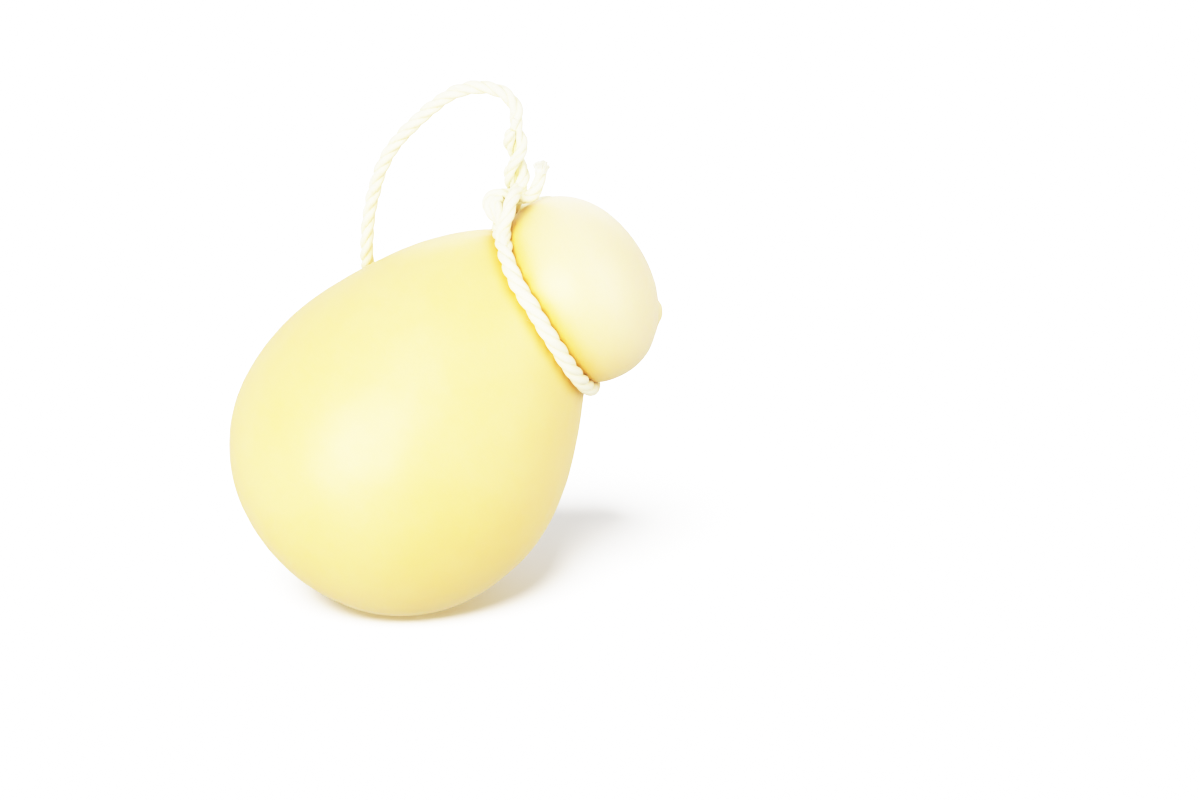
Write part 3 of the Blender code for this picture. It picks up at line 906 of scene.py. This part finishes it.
class CACIOCAVALLO_OT_set_studio(bpy.types.Operator):
    """Lays the floor and sets the light and the camera"""

    bl_idname = "caciocavallo.set_studio"
    bl_label = "Set the studio"

    def execute(self, context):
        studio = context.scene.caciocavallo_studio
        self.floor(studio)
        self.light(context.scene, studio)
        self.camera(context.scene, studio)
        return {"FINISHED"}

    def floor(self, studio):
        bm = bmesh.new()
        bmesh.ops.create_grid(bm, x_segments=1, y_segments=1, size=studio.floor_size / 2)
        mesh = bpy.data.meshes.new("floor")
        bm.to_mesh(mesh)
        bm.free()
        mesh.materials.append(floor_look(studio))
        floor = put_in_scene("floor", mesh)
        floor.visible_diffuse = False
        floor.visible_glossy = False

    def light(self, scene, studio):
        scene.world = room_look(studio)

        spared = bpy.data.collections.new("spared_by_soft_lights")
        spared.objects.link(bpy.data.objects["floor"])
        spared.collection_objects[0].light_linking.link_state = "EXCLUDE"
        for name, place in SOFT_LIGHTS:
            light = bpy.data.lights.new(name, "AREA")
            light.shape = "DISK"
            light.size = SOFT_LIGHT_SIZE
            light.energy = getattr(studio, name + "_power")
            lamp = put_in_scene(name, light)
            lamp.location = place
            lamp.rotation_euler = (SOFT_LIGHT_AIM - lamp.location).to_track_quat("-Z", "Y").to_euler()
            lamp.light_linking.receiver_collection = spared

        above = bpy.data.lights.new("floor_light", "SUN")
        above.energy = studio.floor_power
        above.angle = FLOOR_LIGHT_ANGLE
        sky = put_in_scene("floor_light", above)
        sky.rotation_euler = FLOOR_LIGHT_WAY.to_track_quat("-Z", "Y").to_euler()
        lit = bpy.data.collections.new("lit_by_floor_light")
        lit.objects.link(bpy.data.objects["floor"])
        sky.light_linking.receiver_collection = lit

        scene.view_settings.view_transform = "Standard"
        scene.view_settings.use_curve_mapping = True
        response = scene.view_settings.curve_mapping
        response.white_level = (WHITE_LIGHT, WHITE_LIGHT, WHITE_LIGHT)
        for strength, shown in RESPONSE:
            response.curves[COMBINED_CURVE].points.new(strength / WHITE_LIGHT, shown)
        response.update()

    def camera(self, scene, studio):
        tilt = studio.camera_elevation
        toward = Vector((0.0, -math.cos(tilt), math.sin(tilt)))
        upward = Vector((0.0, math.sin(tilt), math.cos(tilt)))
        middle = BELLY + VIEW_RIGHT + upward * VIEW_UP
        lens = bpy.data.cameras.new("camera")
        lens.sensor_width = SENSOR_WIDTH
        lens.lens = studio.lens
        camera = put_in_scene("camera", lens)
        camera.location = middle + toward * studio.camera_distance
        camera.rotation_euler = (-toward).to_track_quat("-Z", "Y").to_euler()
        scene.camera = camera


class CACIOCAVALLO_OT_hang_loop(bpy.types.Operator):
    """Lays the free part of the cord: up, over to the left and round the back"""

    bl_idname = "caciocavallo.hang_loop"
    bl_label = "Hang the loop"

    def execute(self, context):
        cord = context.scene.caciocavallo_cord
        strand = shared_strand()
        first, last = shared_cuts(strand)
        rope, fuzz = lay_cord("loop", "hanging_loop", [strand.part(first, last)], cord, cord.seed)
        return {"FINISHED"}


class CACIOCAVALLO_OT_tie_neck(bpy.types.Operator):
    """Lays the cord's ring in the groove of the neck"""

    bl_idname = "caciocavallo.tie_neck"
    bl_label = "Tie the neck"

    def execute(self, context):
        cord = context.scene.caciocavallo_cord
        side = NECK_AXIS.cross(NECK_UP)
        steps = round(2 * math.pi * RING_RADIUS / CORD_STEP)
        points, sides = [], []
        for step in range(steps):
            turn = 2 * math.pi * step / steps
            outward = NECK_UP * math.cos(turn) + side * math.sin(turn)
            points.append(NECK + outward * RING_RADIUS - NECK_AXIS * drawn_down(turn, cord.ring_sag))
            sides.append((outward, NECK_AXIS.copy()))
        ring = Laid(points, sides, fullness=cord.ring_fullness, closed=True)
        turns = round(2 * math.pi * RING_RADIUS / cord.lay_length)
        lay_cord("ring", "neck_tie", [ring], cord, cord.seed + 1, turns=turns, proud=0.5)
        return {"FINISHED"}


class CACIOCAVALLO_OT_tie_knot(bpy.types.Operator):
    """Ties the knot: one strand crosses over, the other turns through it to the tail"""

    bl_idname = "caciocavallo.tie_knot"
    bl_label = "Tie the knot"

    def execute(self, context):
        cord = context.scene.caciocavallo_cord
        strand = shared_strand()
        crossing = strand.part(shared_cuts(strand)[1], len(strand.points) - 1, tips=(1.0, 0.8))
        second = Laid(smooth_line(millimetres(SECOND_ROUTE)), start=SECOND_LAY_START, tips=(0.8, 0.9),
                      opening=0.35)
        middle = Laid(smooth_line(millimetres(MIDDLE_ROUTE)), tips=(0.8, 0.8))
        back = Laid(smooth_line(millimetres(BACK_ROUTE)), tips=(0.8, 0.8))
        lay_cord("knot", "neck_tie", [crossing, second, middle, back], cord, cord.seed + 2)
        return {"FINISHED"}


class CACIOCAVALLO_OT_wind_pair(bpy.types.Operator):
    """Winds the two strands round each other above the knot"""

    bl_idname = "caciocavallo.wind_pair"
    bl_label = "Wind the pair"

    def execute(self, context):
        cord = context.scene.caciocavallo_cord
        strand = shared_strand()
        rising = strand.part(0, shared_cuts(strand)[0], tips=(0.8, 1.0))
        wound = Laid(smooth_line(millimetres(wound_strand(math.pi, PAIR_SECOND_TOP, False))),
                     start=WOUND_LAY_START, tips=(0.8, 0.6))
        # The core stands in for the shade between the strands: its front side faces the offset line and so
        # takes the hollows' painted shade.
        middle = smooth_line(millimetres(PAIR_SHADE_CORE))
        shaded_front = [point - Vector((0.0, CORD_RADIUS, 0.0)) for point in middle]
        core = (middle, [PAIR_SHADE_CORE_THICKNESS] * len(middle), shaded_front, False)
        lay_cord("wound", "neck_tie", [rising, wound], cord, cord.seed + 3, core=[core])
        return {"FINISHED"}


class CACIOCAVALLO_OT_fray_tail(bpy.types.Operator):
    """Frays the end of the tail into a soft round tuft"""

    bl_idname = "caciocavallo.fray_tail"
    bl_label = "Fray the tail"

    def execute(self, context):
        cord = context.scene.caciocavallo_cord
        tail = Laid(smooth_line(millimetres(SECOND_ROUTE)))
        chance = random.Random(cord.seed + 4)
        root = len(tail.points) - round(TUFT_ROOT / CORD_STEP)
        forward = lies_along(tail.points)[root]
        across, over = tail.sides[root]
        middle_length, shorter_outside = TUFT_DOME
        lines = []
        for _ in range(cord.tuft_fibres):
            turn = chance.uniform(0.0, 2 * math.pi)
            out = math.sqrt(chance.random())
            outward = across * math.cos(turn) + over * math.sin(turn)
            spread = out * chance.uniform(*TUFT_SPREAD)
            length = chance.uniform(*TUFT_LENGTH) * MM * (middle_length - shorter_outside * out * out)
            bow = outward * chance.uniform(*TUFT_BOW)
            start = tail.points[root] + outward * (out * TUFT_RADIUS)
            line = []
            for step in range(len(TUFT_THICKNESS)):
                share = step / (len(TUFT_THICKNESS) - 1)
                heading = forward + outward * (spread * share)
                line.append(start + heading.normalized() * (length * share)
                            + (bow - forward * TUFT_BOW_BACK * out) * (TUFT_BOW_REACH * share * share))
            lines.append((line, TUFT_THICKNESS, None, False))
        piece("tail_tuft", tubes("tail_tuft", lines, TUFT_FIBRE_RADIUS, FIBRE_SIDES),
              "frayed_fibre", "neck_tie")
        return {"FINISHED"}


class CACIOCAVALLO_OT_mould_cheese(bpy.types.Operator):
    """Turns the cheese in one piece, leans it and moulds its rind by hand"""

    bl_idname = "caciocavallo.mould_cheese"
    bl_label = "Mould the cheese"

    def execute(self, context):
        cheese = context.scene.caciocavallo_cheese
        sag = context.scene.caciocavallo_cord.ring_sag
        bm = bmesh.new()
        verts = [bm.verts.new(point) for point in cheese_profile(cheese)]
        edges = [bm.edges.new(pair) for pair in zip(verts, verts[1:])]
        bmesh.ops.spin(bm, geom=verts + edges, cent=(0, 0, 0), axis=UP, dvec=(0, 0, 0), angle=2 * math.pi,
                       steps=cheese.turn_steps, use_merge=True, use_duplicate=False)
        bmesh.ops.remove_doubles(bm, verts=bm.verts, dist=MERGE_DISTANCE)
        bmesh.ops.recalc_face_normals(bm, faces=bm.faces)

        head = bm.verts.layers.float.new("head")
        groove = bm.verts.layers.float.new("groove")
        upright = {}
        for vert in bm.verts:
            upright[vert] = vert.co.copy()
            from_ring = vert.co.z - NECK_HEIGHT
            share = min(1.0, max(0.0, (from_ring - PALE_FROM) / PALE_LENGTH))
            vert[head] = share ** PALE_POWER
            # The groove attribute is the share of painted shade, greatest at the ring and fading with the
            # distance from it.
            reach, falloff = GROOVE_SHADE_ABOVE if from_ring > 0 else GROOVE_SHADE_BELOW
            vert[groove] = math.exp(-(abs(from_ring) / reach) ** falloff)
            turn = math.atan2(-vert.co.y, -vert.co.x)
            vert.co.z -= drawn_down(turn, sag) * math.exp(-(from_ring / SAG_REACH) ** 2)
            vert.co = leaned(vert.co)
        bm.normal_update()
        moved = {vert: vert.co + vert.normal * (rind_relief(upright[vert], vert.co, cheese)
                                                + pip_relief(vert.co, cheese)) for vert in bm.verts}
        for vert, place in moved.items():
            flattened = (place.z + math.hypot(place.z, FLAT_SPOT_SOFTNESS)) / 2
            vert.co = (place.x, place.y, flattened if place.z < FLAT_SPOT_LIMIT else place.z)
        mesh = bpy.data.meshes.new("cheese_rind")
        bm.to_mesh(mesh)
        bm.free()
        piece("cheese_rind", mesh, "caciocavallo_rind", "cheese")
        return {"FINISHED"}


class CACIOCAVALLO_OT_mix_looks(bpy.types.Operator):
    """Mixes the looks of the rind and the cord"""

    bl_idname = "caciocavallo.mix_looks"
    bl_label = "Mix the looks"

    def execute(self, context):
        rind_look(context.scene.caciocavallo_cheese)
        cord_look(context.scene.caciocavallo_cord)
        frayed_look(context.scene.caciocavallo_cord)
        return {"FINISHED"}


class CACIOCAVALLO_PT_panel(bpy.types.Panel):
    """Lists the steps in order, with the settings of each group"""

    bl_idname = "CACIOCAVALLO_PT_panel"
    bl_label = "Caciocavallo"
    bl_space_type = "VIEW_3D"
    bl_region_type = "UI"
    bl_category = "Caciocavallo"

    def draw(self, context):
        for step in STEPS:
            self.layout.operator(step.bl_idname)
        for group in (context.scene.caciocavallo_cheese, context.scene.caciocavallo_cord,
                      context.scene.caciocavallo_studio):
            box = self.layout.box()
            for name in group.__annotations__:
                box.prop(group, name)


STEPS = (
    CACIOCAVALLO_OT_set_studio,
    CACIOCAVALLO_OT_mix_looks,
    CACIOCAVALLO_OT_hang_loop,
    CACIOCAVALLO_OT_tie_neck,
    CACIOCAVALLO_OT_tie_knot,
    CACIOCAVALLO_OT_wind_pair,
    CACIOCAVALLO_OT_fray_tail,
    CACIOCAVALLO_OT_mould_cheese,
)
CLASSES = (CheeseSettings, CordSettings, StudioSettings) + STEPS + (CACIOCAVALLO_PT_panel,)


def register():
    for cls in CLASSES:
        bpy.utils.register_class(cls)
    bpy.types.Scene.caciocavallo_cheese = bpy.props.PointerProperty(type=CheeseSettings)
    bpy.types.Scene.caciocavallo_cord = bpy.props.PointerProperty(type=CordSettings)
    bpy.types.Scene.caciocavallo_studio = bpy.props.PointerProperty(type=StudioSettings)


def unregister():
    del bpy.types.Scene.caciocavallo_studio
    del bpy.types.Scene.caciocavallo_cord
    del bpy.types.Scene.caciocavallo_cheese
    for cls in reversed(CLASSES):
        bpy.utils.unregister_class(cls)


def main():
    register()
    bpy.ops.caciocavallo.set_studio()
    bpy.ops.caciocavallo.mix_looks()
    bpy.ops.caciocavallo.hang_loop()
    bpy.ops.caciocavallo.tie_neck()
    bpy.ops.caciocavallo.tie_knot()
    bpy.ops.caciocavallo.wind_pair()
    bpy.ops.caciocavallo.fray_tail()
    bpy.ops.caciocavallo.mould_cheese()

    bpy.context.view_layer.update()


if __name__ == "__main__":
    main()
